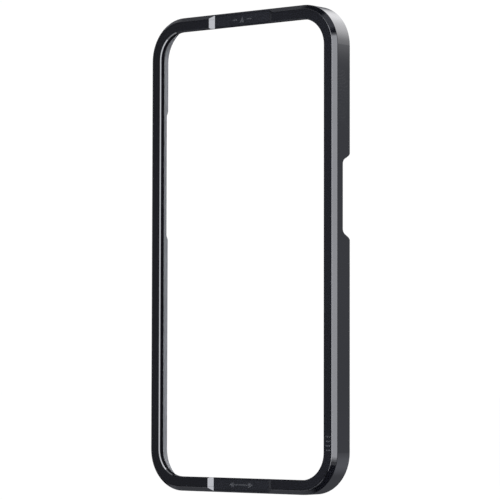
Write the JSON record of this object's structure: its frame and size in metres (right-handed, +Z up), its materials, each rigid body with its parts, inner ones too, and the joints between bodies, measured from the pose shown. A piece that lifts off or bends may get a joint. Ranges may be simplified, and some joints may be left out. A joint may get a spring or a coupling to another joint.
{
  "type": "phone alignment frame",
  "caption": "Open rectangular frame that clips over the front of a phone, with a chamfered rim, side key notches and a soft inner liner.",
  "frame": {"origin": "under the middle of the bottom edge, in the middle of the depth", "axes": "+Z up the height, +X to the right seen from the front, +Y from the front face to the open back"},
  "size_m": [0.0812, 0.0084, 0.1645],
  "materials": {
    "shell_plastic": "polished gloss black, soft moulded edges",
    "bezel_plastic": "polished gloss black with a bright bevelled window edge",
    "bond_film": "thin translucent bonding film",
    "liner_rubber": "matt mid-grey soft rubber",
    "plate_plastic": "satin blue-black with engraved marks"
  },
  "bodies": {
    "root": {"outer_shell": "shell_plastic", "front_bezel": "bezel_plastic", "bezel_bond": "bond_film", "soft_liner": "liner_rubber", "top_plate": "plate_plastic", "bottom_plate": "plate_plastic"}
  },
  "joints": []
}
